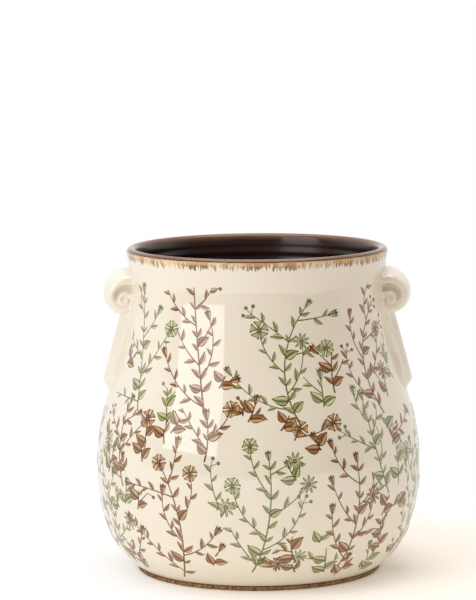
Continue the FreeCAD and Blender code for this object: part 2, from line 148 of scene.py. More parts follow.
def ease(value, start, end):
    """0 before start, 1 after end, smooth between."""
    share = min(max((value - start) / (end - start), 0.0), 1.0)
    return share * share * (3 - 2 * share)


def blend(first, second, share):
    """The first number at share 0, the second at share 1, evenly between."""
    return first + (second - first) * share


def between(first, second, share):
    """The point at a share of the way from one point to another."""
    return tuple(blend(low, high, share) for low, high in zip(first, second))


# the outline of the wall: five tangent arcs from the foot to the lip


def circle_centre(point, other, lean):
    """Centre of the circle through two points whose normal at the first leans so."""
    dx, dz = point[0] - other[0], point[1] - other[1]
    normal = (math.cos(lean), -math.sin(lean))
    reach = (dx * dx + dz * dz) / (2 * (dx * normal[0] + dz * normal[1]))
    return (point[0] - reach * normal[0], point[1] - reach * normal[1])


def wall_arcs():
    """Centre, low end, high end and sense (1 bulges, -1 is hollow) of each arc."""
    foot = (FOOT_RADIUS, FOOT_EDGE)
    belly = (BELLY_RADIUS, BELLY_HEIGHT)
    neck = (NECK_RADIUS, NECK_HEIGHT)
    chord = math.dist(foot, belly)
    along = ((belly[0] - foot[0]) / chord, (belly[1] - foot[1]) / chord)
    set_back = chord / 2 / math.tan(FOOT_LEAN / 2)
    join_x = (foot[0] + belly[0]) / 2 - along[1] * set_back
    join_z = (foot[1] + belly[1]) / 2 + along[0] * set_back
    join_radius = chord / 2 / math.sin(FOOT_LEAN / 2)
    turn = (join_x + math.sqrt(join_radius**2 - (TURN_HEIGHT - join_z) ** 2), TURN_HEIGHT)
    share = (SHOULDER_HEIGHT - BELLY_HEIGHT) / (NECK_HEIGHT - BELLY_HEIGHT)
    shoulder = (belly[0] + share * (neck[0] - belly[0]), SHOULDER_HEIGHT)
    lip = (LIP_RADIUS - WALL / 2, TOP - WALL / 2)
    rise, run = lip[1] - neck[1], LIP_RADIUS - NECK_RADIUS
    flare_radius = (rise**2 + run**2) / (2 * run) - WALL / 2
    flare = (neck[0] + flare_radius, neck[1])
    pull = flare_radius / math.dist(flare, lip)
    edge = between(flare, lip, pull)
    return [
        (circle_centre(foot, turn, FOOT_LEAN), foot, turn, 1),
        (circle_centre(belly, turn, 0), turn, belly, 1),
        (circle_centre(belly, shoulder, 0), belly, shoulder, 1),
        (circle_centre(neck, shoulder, 0), shoulder, neck, -1),
        (flare, neck, edge, -1),
    ]


ARCS = wall_arcs()
FOOT_ARC, LIP_ARC = ARCS[0], ARCS[-1]


def sunk(arc, point, depth):
    """A point of an arc, moved into the wall by a depth."""
    centre, low, high, sense = arc
    radius = math.dist(centre, low)
    pull = (radius - sense * depth) / radius
    return between(centre, point, pull)


def height_on(arc, height):
    """The point of an arc at a height."""
    centre, low, high, sense = arc
    run = math.sqrt(math.dist(centre, low) ** 2 - (height - centre[1]) ** 2)
    return (centre[0] + sense * run, height)


def wall_radius(height, depth=0.0):
    """Radius of the wall at a height, at a depth under its face."""
    for arc in ARCS:
        if height <= sunk(arc, arc[2], depth)[1]:
            break
    centre, low, high, sense = arc
    reach = math.dist(centre, low) - sense * depth
    run = math.sqrt(max(reach**2 - (height - centre[1]) ** 2, 0))
    return centre[0] + sense * run


def turn_of(centre, start, end):
    """Signed angle from start to end about a centre, seen with x right and z up."""
    first = math.atan2(start[1] - centre[1], start[0] - centre[0])
    last = math.atan2(end[1] - centre[1], end[0] - centre[0])
    return (last - first + math.pi) % math.tau - math.pi


def spin_arc(centre, start, end, steps):
    """Draws an arc from the selected point, around a centre in the section plane."""
    bpy.ops.mesh.spin(
        steps=steps, angle=turn_of(centre, start, end), center=(centre[0], 0, centre[1]), axis=(0, 1, 0)
    )


def draw_arcs(runs, depth):
    """Draws (arc, low end, high end, steps) runs upwards. Gives the last point."""
    for arc, low, high, steps in runs:
        end = sunk(arc, high, depth)
        spin_arc(arc[0], sunk(arc, low, depth), end, steps)
    return end


def lathe(piece):
    """Turns the drawn section once around the axis of the pot."""
    bpy.ops.mesh.select_all(action="SELECT")
    bpy.ops.mesh.spin(steps=LATHE_STEPS, angle=math.tau, center=(0, 0, 0), axis=(0, 0, 1))
    bpy.ops.mesh.select_all(action="SELECT")
    bpy.ops.mesh.remove_doubles(threshold=COAT / 100)
    bpy.ops.mesh.normals_make_consistent(inside=False)
    object_mode()


# materials


class Finish:
    """A material or world under construction, with short words for its nodes."""

    # the colour sockets of a mix node
    MIX_FIRST, MIX_SECOND, MIX_RESULT = 6, 7, 2

    def __init__(self, made, shader):
        self.made = made
        made.use_nodes = True
        self.tree = made.node_tree
        self.shader = self.tree.nodes[shader]

    @classmethod
    def material(cls, name):
        return cls(bpy.data.materials.new(name), "Principled BSDF")

    def feed(self, socket, value):
        """Sets a socket to a number, vector or colour, or links it to an output."""
        if isinstance(value, bpy.types.NodeSocket):
            self.tree.links.new(value, socket)
        else:
            socket.default_value = (*value, 1) if socket.type == "RGBA" else value

    def set(self, **sockets):
        """Feeds sockets of the shader, with _ for each blank in their names."""
        for name, value in sockets.items():
            self.feed(self.shader.inputs[name.replace("_", " ")], value)

    def node(self, kind, output, inputs, **settings):
        """One output of a new node, with its inputs fed by name or number."""
        made = self.tree.nodes.new("ShaderNode" + kind)
        for key, value in settings.items():
            setattr(made, key, value)
        for name, value in inputs.items():
            self.feed(made.inputs[name], value)
        return made.outputs[output]

    def place(self, scale=(1, 1, 1), move=(0, 0, 0)):
        """Object coordinates, stretched and moved."""
        inputs = {"Vector": self.node("TexCoord", "Object", {}), "Scale": scale, "Location": move}
        return self.node("Mapping", "Vector", inputs)

    def part(self, vector, axis):
        return self.node("SeparateXYZ", axis, {"Vector": vector})

    def length(self, vector):
        return self.node("VectorMath", "Value", {0: vector}, operation="LENGTH")

    def height(self):
        return self.part(self.place(), "Z")

    def noise(self, scale=1.0, stretch=(1, 1, 1), detail=2.0, roughness=0.5):
        """Noise in space, finer with a larger scale or stretch."""
        inputs = {"Scale": scale, "Detail": detail, "Roughness": roughness}
        return self.node("TexNoise", "Fac", {"Vector": self.place(stretch), **inputs})

    def span(self, value, low, high, new_low=0.0, new_high=1.0, kind="SMOOTHSTEP"):
        """Maps a span of values to another one, held at its ends."""
        inputs = dict(enumerate((value, low, high, new_low, new_high)))
        return self.node("MapRange", "Result", inputs, interpolation_type=kind)

    def math(self, kind, first, second):
        return self.node("Math", "Value", {0: first, 1: second}, operation=kind)

    def mix(self, factor, first, second):
        """The first colour where the factor is 0, the second where it is 1."""
        inputs = {"Factor": factor, self.MIX_FIRST: first, self.MIX_SECOND: second}
        return self.node("Mix", self.MIX_RESULT, inputs, data_type="RGBA")

    def bump(self, value, distance, strength):
        inputs = {"Height": value, "Distance": distance, "Strength": strength}
        self.set(Normal=self.node("Bump", "Normal", inputs))

    def ray(self, kind):
        """1 for rays of a kind, else 0."""
        return self.node("LightPath", f"Is {kind} Ray", {})

    def seen(self):
        """1 for rays from the camera, straight or through glass, else 0."""
        return self.math("MAXIMUM", self.ray("Camera"), self.ray("Transmission"))


# nearly all values of a noise lie in this span
NOISE = (0.3, 0.7)

CREAM = (0.885, 0.82, 0.70)
CREAM_WARM = (0.875, 0.805, 0.68)
GLAZE_IOR = 1.8
GLAZE_ROUGHNESS = (0.025, 0.055)


def cream_colour(finish):
    """Cream with faint cloudy changes of depth."""
    cloud = finish.noise(scale=22, detail=3)
    return finish.mix(finish.span(cloud, *NOISE), CREAM_WARM, CREAM)


def ripple(finish):
    """The faint unevenness of a fired coat."""
    finish.bump(finish.noise(scale=75, detail=1), distance=0.02 * MM, strength=0.4)


def gloss(finish):
    """Fired gloss with a little haze and ripple."""
    haze = finish.noise(scale=60)
    finish.set(Roughness=finish.span(haze, *NOISE, *GLAZE_ROUGHNESS), IOR=GLAZE_IOR)
    ripple(finish)


def cream_glaze():
    finish = Finish.material("cream_glaze")
    finish.set(Base_Color=cream_colour(finish))
    gloss(finish)
    return finish.made


TAN = (0.56, 0.32, 0.13)
TAN_PALE = (0.84, 0.66, 0.42)
TICK = (0.21, 0.085, 0.022)
THICKER = 0.12
# heights over which the wash and its ticks come and go, and how far streaks shift them
WASH_RISE = mm(172.7, 174.2)
TICK_RISE, TICK_FALL = mm(172.0, 173.3), mm(174.2, 176.8)
RAGGED = 1.7 * MM


def brush(finish):
    """Fine upright brush streaks, and groups where the wash lies thicker."""
    streak = finish.noise(stretch=(800, 800, 60), detail=3, roughness=0.65)
    return streak, finish.noise(stretch=(130, 130, 20))


def tan_wash(finish, streak, group):
    """Tan along thick streaks, paler between them."""
    extra = finish.span(group, *NOISE, -THICKER, THICKER, "LINEAR")
    thick = finish.math("ADD", streak, extra)
    return finish.mix(finish.span(thick, 0.38, 0.6), TAN_PALE, TAN)


def lip_wash():
    """Brushed tan under the lip, with dark ragged ticks that run down into the cream."""
    finish = Finish.material("lip_wash")
    streak, group = brush(finish)
    shift = finish.span(streak, *NOISE, -RAGGED, RAGGED, "LINEAR")
    ragged = finish.math("ADD", finish.height(), shift)
    tan = tan_wash(finish, streak, group)
    washed = finish.mix(finish.span(ragged, *WASH_RISE), cream_colour(finish), tan)
    dark = finish.span(ragged, *TICK_RISE)
    for fade in (
        finish.span(ragged, *TICK_FALL, 1, 0),
        finish.span(group, 0.36, 0.56),
        finish.span(streak, 0.4, 0.55),
    ):
        dark = finish.math("MULTIPLY", dark, fade)
    finish.set(Base_Color=finish.mix(dark, washed, TICK))
    gloss(finish)
    return finish.made


# the liner's own dark brown glaze, painted darker still with the shade that falls inside the pot
LINER_DARK_SHADED = (0.015, 0.005, 0.003)
LINER_BROWN_SHADED = (0.03, 0.011, 0.007)
DRIFT, LINE_WAVER = mm(0.3, 0.1)
LINER_ROUGHNESS, LIP_ROUGHNESS = 0.24, 0.045
LIP_BROWN = (0.20, 0.095, 0.056)
LIP_LINE = (0.07, 0.022, 0.007)
# heights over which the liner turns brown and glossy
BROWN_RISE, GLOSS_RISE = mm(173.5, 177.2), mm(172, 176.5)
# radii over which the dark line and the wash begin, and heights that count as lip
LINE_START, WASH_START = mm(70.8, 71.05), mm(71.15, 71.35)
LIP_RISE = mm(150, 165)


def brown_glaze():
    """Dark liner, its glaze's own dark brown deepened with painted shade, paler where it thins over the
    lip, down to the tan wash on its outer edge.
    """
    finish = Finish.material("brown_glaze")
    cloud = finish.noise(stretch=(30, 30, 90), detail=3)
    # painted shade: both liner colours are darker than the glaze itself
    dark = finish.mix(finish.span(cloud, 0.35, 0.65), LINER_DARK_SHADED, LINER_BROWN_SHADED)
    wander = finish.noise(stretch=(60, 60, 60))
    height = finish.math("ADD", finish.height(), finish.span(wander, *NOISE, -DRIFT, DRIFT))
    lip = finish.mix(finish.span(height, *BROWN_RISE), dark, LIP_BROWN)
    radius = finish.length(finish.place((1, 1, 0)))
    near_lip = finish.math("MULTIPLY", radius, finish.span(height, *LIP_RISE))
    streak, group = brush(finish)
    waver = finish.span(streak, *NOISE, -LINE_WAVER, LINE_WAVER)
    edge = finish.math("ADD", near_lip, waver)
    lined = finish.mix(finish.span(edge, *LINE_START), lip, LIP_LINE)
    washed = finish.mix(finish.span(edge, *WASH_START), lined, tan_wash(finish, streak, group))
    roughness = finish.span(height, *GLOSS_RISE, LINER_ROUGHNESS, LIP_ROUGHNESS)
    finish.set(Base_Color=washed, Roughness=roughness, IOR=1.45)
    ripple(finish)
    return finish.made


CLAY = (0.30, 0.145, 0.05)
CLAY_DARK = (0.12, 0.05, 0.016)
CLAY_PALE = (0.56, 0.33, 0.15)
CLAY_ROUGHNESS = (0.7, 0.85)
# heights over which the clay darkens under the edge of the glaze
EDGE_RISE = (FOOT_EDGE - 0.8 * MM, FOOT_EDGE - 0.3 * MM)


def bare_clay():
    """Open unglazed stoneware with dark and pale grains."""
    finish = Finish.material("bare_clay")
    cloud = finish.noise(scale=180, detail=3)
    tint = finish.mix(finish.span(cloud, 0.45, 0.9), CLAY, CLAY_DARK)
    grain = finish.noise(scale=1000)
    speckled = finish.mix(finish.span(grain, 0.5, 0.64), tint, CLAY_PALE)
    grit = finish.noise(scale=800, detail=1)
    gritty = finish.mix(finish.span(grit, 0.54, 0.64), speckled, CLAY_DARK)
    edge = finish.span(finish.height(), *EDGE_RISE)
    roughness = finish.span(cloud, *NOISE, *CLAY_ROUGHNESS)
    finish.set(Base_Color=finish.mix(edge, gritty, CLAY_DARK), Roughness=roughness)
    finish.bump(grain, distance=0.12 * MM, strength=0.8)
    return finish.made


def dress(piece, material, slot, *nodes):
    """Gives a piece its finish and its body, and hides the nodes that it stands for."""
    piece.data.materials.clear()
    piece.data.materials.append(material)
    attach(piece, "root")
    if nodes:
        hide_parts(*nodes)


# the pot

# faces up each arc outside, then up the floor, corner, arcs and lip inside
ARC_STEPS = (20, 22, 30, 38, 12)
FLOOR_STEPS, CORNER_STEPS, FOOT_STEPS, LIP_STEPS = 4, 8, 6, 18
LINER_STEPS = (18, 22, 64, 24)


def whole(arcs, steps):
    """Runs along the whole of some arcs."""
    return [(arc, arc[1], arc[2], count) for arc, count in zip(arcs, steps)]


def outer_coat(name, runs):
    """A coat on the outside of the wall, along runs of its arcs."""
    arc, low, high, steps = runs[0]
    start = sunk(arc, low, GLAZE_DEPTH)
    piece = start_point(name, (start[0], 0, start[1]))
    draw_arcs(runs, GLAZE_DEPTH)
    lathe(piece)
    add_modifier(piece, "SOLIDIFY", thickness=COAT - GLAZE_DEPTH, offset=-1)
    smooth(piece)
    return piece


def outer_glaze():
    """The cream coat outside, from the bare foot to the brown band."""
    last = (LIP_ARC, LIP_ARC[1], height_on(LIP_ARC, BAND_EDGE), ARC_STEPS[-1])
    return outer_coat("cream_coat", [*whole(ARCS[:-1], ARC_STEPS), last])


def lip_band():
    """The brushed band between the cream coat and the lip."""
    run = (LIP_ARC, height_on(LIP_ARC, BAND_EDGE), LIP_ARC[2], ARC_STEPS[-1])
    return outer_coat("brushed_band", [run])


def inside_start():
    """Centre of the round between floor and wall, and where it begins and ends."""
    centre, low, high, sense = FOOT_ARC
    reach = math.dist(centre, low) - WALL
    drop = FLOOR_HEIGHT + FLOOR_CORNER - centre[1]
    run = math.sqrt((reach - FLOOR_CORNER) ** 2 - drop**2)
    middle = (centre[0] + run, centre[1] + drop)
    pull = reach / (reach - FLOOR_CORNER)
    return middle, (middle[0], FLOOR_HEIGHT), (centre[0] + pull * run, centre[1] + pull * drop)


RING_STEP, RING_DEPTH = mm(5.6, 0.24)
RING_WANDER, WANDER_RATE = 0.6, 150
RINGS_LOW, RINGS_FULL = mm(25, 40)
RINGS_FADE, RINGS_HIGH = mm(169, 175)


def throwing_rings(piece):
    """Shallow grooves that the potter's fingers left round the inside."""
    for vertex in piece.data.vertices:
        radius, height = math.hypot(vertex.co.x, vertex.co.y), vertex.co.z
        if RINGS_LOW < height < RINGS_HIGH:
            fade = ease(height, RINGS_LOW, RINGS_FULL) * (1 - ease(height, RINGS_FADE, RINGS_HIGH))
            wander = RING_WANDER * math.sin(WANDER_RATE * height)
            wave = 1 - math.cos(math.tau * height / RING_STEP + wander)
            grown = 1 + fade * wave * RING_DEPTH / 2 / radius
            vertex.co.x *= grown
            vertex.co.y *= grown


def liner():
    """The dark coat inside: floor, wall, and over the round lip to its outer edge."""
    middle, floor_end, corner_end = inside_start()
    piece = start_point("dark_liner", (0, 0, FLOOR_HEIGHT))
    step = Vector((floor_end[0] / FLOOR_STEPS, 0, 0))
    for index in range(FLOOR_STEPS):
        bpy.ops.mesh.extrude_region_move(TRANSFORM_OT_translate={"value": step})
    spin_arc(middle, floor_end, corner_end, CORNER_STEPS)
    spin_arc(FOOT_ARC[0], corner_end, sunk(FOOT_ARC, FOOT_ARC[2], WALL), FOOT_STEPS)
    end = draw_arcs(whole(ARCS[1:], LINER_STEPS), WALL)
    edge = sunk(LIP_ARC, LIP_ARC[2], GLAZE_DEPTH)
    centre = ((end[0] + edge[0]) / 2, 0, (end[1] + edge[1]) / 2)
    bpy.ops.mesh.spin(steps=LIP_STEPS, angle=-math.pi, center=centre, axis=(0, 1, 0))
    lathe(piece)
    throwing_rings(piece)
    add_modifier(piece, "SOLIDIFY", thickness=COAT, offset=-1)
    smooth(piece)
    return piece


# the handles, with the places of the right one

HANDLE_WIDTH = 40 * MM
# the roll: reach from the axis, middle height, radii above and below it, crown, inner end
REACH, SCROLL_HEIGHT = mm(84.1, 152.7)
SCROLL_TOP, SCROLL_LOW = mm(13.8, 12)
SCROLL_CROWN, ROOT = mm(60, 65.5)
# its ends: a rim, a hollow within it, and an eye that fills part of that
END_SHARE = 0.8
RIM_ROUND, RIM_FALL = mm(3.6, 2.6)
RIM_SIDE, RIM_TOP = mm(3.0, 5.8)
END_LOW, END_HOLLOW = mm(1.0, 4.2)
EYE = mm(71.8, 150.8)
EYE_LOW, EYE_HIGH = mm(144, 153)
EYE_INNER, EYE_OUTER = mm(2.6, 6)
EYE_FILL = 0.7
# the bead: up the strap, where it swells and lifts, then round the eye
BEAD = 1.1 * MM
BEAD_LOW, BEAD_STEPS = 122 * MM, 8
BEAD_ACROSS = mm(15.5, 22)
BEAD_SWELL = (0.7, 1.3)
BEAD_LIFT, BEAD_CLEAR = 0.5, 0.8
CURL_START, CURL_END = mm(4.3, 0.8)
CURL_TURN, CURL_SWEEP = math.radians(200), math.radians(450)
CURL_STEPS = 30
# the strap: radius and height of its face at two places, then its half widths
STRAP_TOP, STRAP_TOE = mm(76.8, 136), mm(84.7, 106.5)
STRAP_HALF = mm(21, 17.5)
TAPER_HIGH, TAPER_LOW = mm(144, 112)
STRAP_CREST = 2.2
RIDGES, RIDGE_RELIEF = 2, 1.25
RIDGES_LOW, RIDGES_HIGH = mm(104, 116)
TOE_LOW, TOE_HIGH = mm(97.8, 106.2)
TOE_WIDTH = 0.7
# the skirt: a thin foot on the glaze, raised a little beside the roll
SKIRT_LOW, SKIRT_HIGH = mm(93, 170)
SKIRT_HALF, SKIRT_EDGE = mm(28, 4)
SKIRT_PROUD, SKIRT_DIP = mm(0.05, 0.35)
FLARE = 0.5 * MM
FLARE_INNER, FLARE_OUTER = mm(18, 24.5)
FLARE_RISE, FLARE_FALL = mm(136, 146), mm(158, 168)
PRESS_FULL, PRESS_NONE = mm(0.3, 0.8)
VOXEL = 0.45 * MM


def roll_end(x, height, inside):
    """How far the end of the roll lies behind its widest point: a hollow within a round rim."""
    depth = blend(END_LOW, END_HOLLOW, ease(height, EYE_LOW, EYE_HIGH))
    from_eye = math.dist((x, height), EYE)
    depth *= 1 - EYE_FILL * (1 - ease(from_eye, EYE_INNER, EYE_OUTER))
    rim = blend(RIM_SIDE, RIM_TOP, ease(height, EYE_HIGH, SCROLL_HEIGHT + SCROLL_TOP))
    edge = max(RIM_ROUND - inside, 0.0)
    return depth * ease(inside, rim, rim + RIM_FALL) + RIM_ROUND - math.sqrt(RIM_ROUND**2 - edge**2)


def scroll():
    """A ball pressed into the roll of the handle, with both ends hollowed."""
    deselect()
    bpy.ops.mesh.primitive_uv_sphere_add(segments=144, ring_count=96, radius=1)
    piece = bpy.context.object
    middle = REACH - (SCROLL_TOP + SCROLL_LOW) / 2
    for vertex in piece.data.vertices:
        turn = math.atan2(vertex.co.y, vertex.co.x)
        share = math.acos(min(abs(vertex.co.z), 1.0)) / (math.pi / 2)
        side = math.copysign(1, vertex.co.z)
        radius = SCROLL_TOP if math.sin(turn) > 0 else SCROLL_LOW
        offset = REACH - radius - middle
        reach = offset * math.cos(turn) + math.sqrt(radius**2 - (offset * math.sin(turn)) ** 2)
        out = min(share / END_SHARE, 1.0)
        across = (HANDLE_WIDTH / 2 - RIM_ROUND) * min((1 - share) / (1 - END_SHARE), 1.0)
        reach = (reach - across**2 / (2 * SCROLL_CROWN)) * out
        x, z = middle + reach * math.cos(turn), SCROLL_HEIGHT + reach * math.sin(turn)
        if out < 1:
            across = HANDLE_WIDTH / 2 - roll_end(x, z, reach / out - reach if out else radius)
        vertex.co = (x, side * across, z)
    face_outward(piece)
    return piece


def strap_height(across, height):
    """How far the strap stands proud of the wall: a crest, and ridges down both flanks."""
    slope = (STRAP_TOE[0] - STRAP_TOP[0]) / (STRAP_TOP[1] - STRAP_TOE[1])
    face = STRAP_TOP[0] + slope * (STRAP_TOP[1] - height)
    proud = face - wall_radius(height)
    toe = ease(height, TOE_LOW, TOE_HIGH)
    wide = blend(*STRAP_HALF, ease(height, TAPER_HIGH, TAPER_LOW)) * blend(TOE_WIDTH, 1, toe)
    fall = 1 - min(abs(across) / wide, 1.0) ** STRAP_CREST
    ridge = math.sin(math.tau * RIDGES * fall) / (math.tau * RIDGES)
    relief = RIDGE_RELIEF * ease(height, RIDGES_LOW, RIDGES_HIGH)
    return proud * toe * (fall - relief * ridge)


def skirt_height(across, height):
    """The foot of the handle lies on the glaze and dips into it at its edge."""
    inside = min(SKIRT_HALF - abs(across), height - SKIRT_LOW, SKIRT_HIGH - height)
    return SKIRT_PROUD - SKIRT_DIP * (1 - ease(inside, 0.0, SKIRT_EDGE))


def flare_height(across, height):
    """The root of the roll spreads a little where it meets the wall."""
    rise = ease(height, *FLARE_RISE) * (1 - ease(height, *FLARE_FALL))
    return FLARE * rise * (1 - ease(abs(across), FLARE_INNER, FLARE_OUTER))


def on_wall(across, height, proud):
    """A point of the right side of the pot, at a distance across from its middle."""
    reach = wall_radius(height, GLAZE_DEPTH) + proud
    return Vector((math.sqrt(reach**2 - across**2), across, height))


def strap():
    """The strap with the skirt of glaze around the foot of the handle."""
    deselect()
    bpy.ops.mesh.primitive_grid_add(x_subdivisions=72, y_subdivisions=108, size=1)
    piece = bpy.context.object
    for vertex in piece.data.vertices:
        across = 2 * vertex.co.x * SKIRT_HALF
        height = blend(SKIRT_LOW, SKIRT_HIGH, vertex.co.y + 0.5)
        raised = flare_height(across, height)
        if height < SCROLL_HEIGHT:
            raised = max(raised, strap_height(across, height))
        vertex.co = on_wall(across, height, skirt_height(across, height) + raised)
    face_outward(piece)
    if piece.data.polygons[0].normal.x < 0:
        piece.data.flip_normals()
    add_modifier(piece, "SOLIDIFY", thickness=2 * MM, offset=-1)
    return piece


def bead_points(side):
    """Places and swells of the bead on one side: up the strap, then around the eye."""
    points = []
    for step in range(BEAD_STEPS):
        share = step / BEAD_STEPS
        height = blend(BEAD_LOW, EYE[1] - CURL_START / 2, share)
        across = side * blend(*BEAD_ACROSS, share)
        place = on_wall(across, height, strap_height(across, height) + BEAD_LIFT * BEAD * share)
        points.append((*place, blend(*BEAD_SWELL, share)))
    depth = HANDLE_WIDTH / 2 - BEAD
    for step in range(CURL_STEPS + 1):
        share = step / CURL_STEPS
        turn = CURL_TURN - CURL_SWEEP * share
        reach = blend(CURL_START, CURL_END, share)
        x, z = EYE[0] + reach * math.cos(turn), EYE[1] + reach * math.sin(turn)
        beside = math.sqrt(max((wall_radius(z) + BEAD_CLEAR * BEAD) ** 2 - x**2, 0.0))
        points.append((x, side * max(depth, beside), z, 1.0))
    return points


def curl():
    """A bead that rises along the edge of the strap and coils into the eye of the scroll."""
    data = bpy.data.curves.new("curl", "CURVE")
    data.dimensions = "3D"
    data.bevel_depth = BEAD
    data.bevel_resolution = 4
    data.use_fill_caps = True
    for side in (-1, 1):
        points = bead_points(side)
        spline = data.splines.new("NURBS")
        spline.points.add(len(points) - 1)
        for point, (x, y, z, swell) in zip(spline.points, points):
            point.co = (x, y, z, 1)
            point.radius = swell
        spline.order_u = 4
        spline.use_endpoint_u = True
    choose(add_object("curl", data))
    bpy.ops.object.convert(target="MESH")
    return bpy.context.object


def press_skirt(piece):
    """Lays the foot of the handle evenly on the glaze after the smoothing."""
    for vertex in piece.data.vertices:
        across, height = vertex.co.y, vertex.co.z
        proud = math.hypot(vertex.co.x, across) - wall_radius(height, GLAZE_DEPTH)
        if abs(proud) < PRESS_NONE:
            hold = ease(abs(proud), PRESS_FULL, PRESS_NONE)
            target = skirt_height(across, height) + flare_height(across, height)
            vertex.co = on_wall(across, height, hold * proud + (1 - hold) * target)


def right_handle():
    """A strap down the wall whose top rolls outward into a scroll around its eye."""
    top = scroll()
    edit(top)
    bpy.ops.mesh.bisect(plane_co=(ROOT, 0, 0), plane_no=(-1, 0, 0), use_fill=True, clear_outer=True)
    object_mode()
    handle = strap()
    handle.name = "right_scroll_handle"
    join([handle, top, curl()])
    add_modifier(handle, "REMESH", mode="VOXEL", voxel_size=VOXEL)
    add_modifier(handle, "SMOOTH", factor=0.5, iterations=8)
    press_skirt(handle)
    smooth(handle, 180)
    return handle


def opposite(piece, name):
    """A copy with its own mesh, turned half round the pot."""
    choose(piece)
    bpy.ops.object.duplicate(linked=False)
    copy = bpy.context.object
    copy.name = name
    copy.rotation_euler = (0, 0, math.pi)
    bpy.ops.object.transform_apply(location=True, rotation=True, scale=True)
    return copy


# the print: sprigs of leaves and blossoms, each mark a thin film on the glaze

TONE_MAP = "OFBake"
TONE_MARGIN = 0.02
FILM = 0.1 * MM
GREEN_INK, BROWN_INK = 0, 1
# steps by which marks lie above stems, leaves at one step and the flowers on top
MARK_STEP = 0.009 * MM
MARK_STEPS = {"stem": 0, "stalk": 0, "blossom": 2, "daisy": 2}
STEM_ROWS, STALK_ROWS = 36, 5

STEMS = ("stem", "stalk")
WREATHS = ("blossom", "daisy")
FLOWERS = ("blossom", "blossom", "bell", "bell", "daisy", "berry")
MARK_TIPS = (Vector((0, 0)), Vector((0, 0.5)), Vector((0, 1)))
# where the middle of a mark lies along it, and its radius, both as shares of its size
MARK_SPOTS = {
    "leaf": (0.55, 0.3),
    "broad": (0.5, 0.36),
    "bell": (0.5, 0.36),
    "berry": (0.0, 0.5),
    "blossom": (0.0, 0.9),
    "daisy": (0.0, 0.9),
}
SPOT_ROOM = 0.85

# where the print may go, and how much room its marks keep
PRINT_LOW, PRINT_HIGH = mm(5, 163)
HANDLE_ROOM, HANDLE_FREE = mm(24, 92)
STEM_ROOM, LEAF_ROOM, FLOWER_ROOM, SPRIG_ROOM = mm(2.3, 0.8, 11, 4)
SHORTEST_STEM, FIELD_CELL = mm(4, 10)

# half widths of stems, how far they narrow, and lengths of stem to each leaf or twig
STEM_HALF, TWIG_HALF, STALK_HALF = mm(0.48, 0.36, 0.22)
STEM_NARROW = 0.6
STEM_LEAF_STEP, TWIG_LEAF_STEP, TWIG_STEP = mm(8, 5.2, 11.5)
STEM_LEAF, TWIG_LEAF = mm(7.2, 6.4)
BROAD_SHARES = (0.1, 0.2, 0.55)
BERRY_SPREADS, BERRY_CURL = (-0.9, 0.1, 1.0), 0.3
BERRY_STALK, BERRY = mm(4.5, 2.0)

# spans that a sprig draws from: lengths in millimetres, angles in radians, else shares
SHADES, SHADE_CHANGES = (0.3, 0.7), (-0.25, 0.25)
BELLS, WREATH_SIZES, BROADS, TWIGS = (5, 6.5), (4.3, 5.6), (7.5, 10), (22, 40)
LEAF_TURNS, BROAD_TURNS, TWIG_TURNS = (0.5, 0.95), (0.8, 1.2), (0.75, 1.25)
STEM_BENDS, TWIG_BENDS = (-0.4, 0.4), (-0.2, 1.3)
LEAF_SCALES, PAIR_SCALE = (0.8, 1.15), 0.85
TWIG_PLACES = (0.4, 0.9)

# each row of sprigs: distance up the wall, number round the pot, length
ROWS = ((96 * MM, 10, 74 * MM), (6 * MM, 10, 66 * MM), (54 * MM, 10, 74 * MM))
ROW_LEAN, ROW_LEANS = 0.5, (0.5, 1.1)
ROW_SHIFTS, ROW_RISES, ROW_SCALES = (-0.15, 0.15), (0, 8), (0.85, 1.15)
# small sprigs tried in the gaps: their number, feet up the wall, lengths and leans
FILLERS = 700
FILLER_RUNS, FILLER_LENGTHS, FILLER_LEANS = (6, 126), (18, 42), (-0.8, 0.8)


def set_tones(piece, tones):
    """Keeps the tone of each point, 0 outline to 1 fill, in the map that the inks read."""
    layer = piece.data.uv_layers.active or piece.data.uv_layers.new()
    layer.name = TONE_MAP
    for loop in piece.data.loops:
        tone = blend(TONE_MARGIN, 1 - TONE_MARGIN, tones[loop.vertex_index])
        layer.data[loop.index].uv = (tone, 0.5)


def flat_mark(name, columns, rows, shape):
    """A flat sheet, one unit long, whose points and tones a shape gives."""
    deselect()
    bpy.ops.mesh.primitive_grid_add(x_subdivisions=columns, y_subdivisions=rows, size=2)
    piece = bpy.context.object
    piece.name = name
    tones = []
    for vertex in piece.data.vertices:
        x, y, tone = shape(vertex.co.x, (vertex.co.y + 1) / 2)
        vertex.co = (x, y, 0)
        tones.append(tone)
    set_tones(piece, tones)
    edit(piece)
    bpy.ops.mesh.remove_doubles(threshold=1e-4)
    object_mode()
    return piece


def to_edge(u):
    """Moves points across a mark nearer to its edge, for a fine outline."""
    return math.copysign(abs(u) ** 0.6, u)


def leaf_tone(u, v):
    """Dark outline and vein, one half of the leaf in shade."""
    if v in (0, 1) or abs(u) > 0.9:
        return 0.0
    return 0.5 if abs(u) < 0.1 else 0.85 + 0.3 * u


def leaf_shape(half_width, fullness, bend):
    """The shape of a leaf that swells to a half width and bends to one side."""

    def shape(u, v):
        half = half_width * math.sin(math.pi * v**fullness)
        return to_edge(u) * half + bend * math.sin(math.pi * v), v, leaf_tone(u, v)

    return shape


def petal_shape(u, v):
    half = 0.08 + 0.44 * v**0.8
    notch = 0.2 * (1 - abs(u)) ** 2 + 0.18 * abs(u) ** 3
    edge = v > 0.95 or abs(u) > 0.9
    tone = 0.0 if edge else 0.5 + 0.55 * v
    return to_edge(u) * half, 0.16 + 0.84 * v**0.7 * (1 - notch * v), tone


def ray_shape(u, v):
    half = 0.14 * math.sin(math.pi * (0.12 + 0.78 * v))
    return u * half, 0.25 + 0.75 * v, 0.0 if v > 0.95 else 0.9 - 0.7 * abs(u)


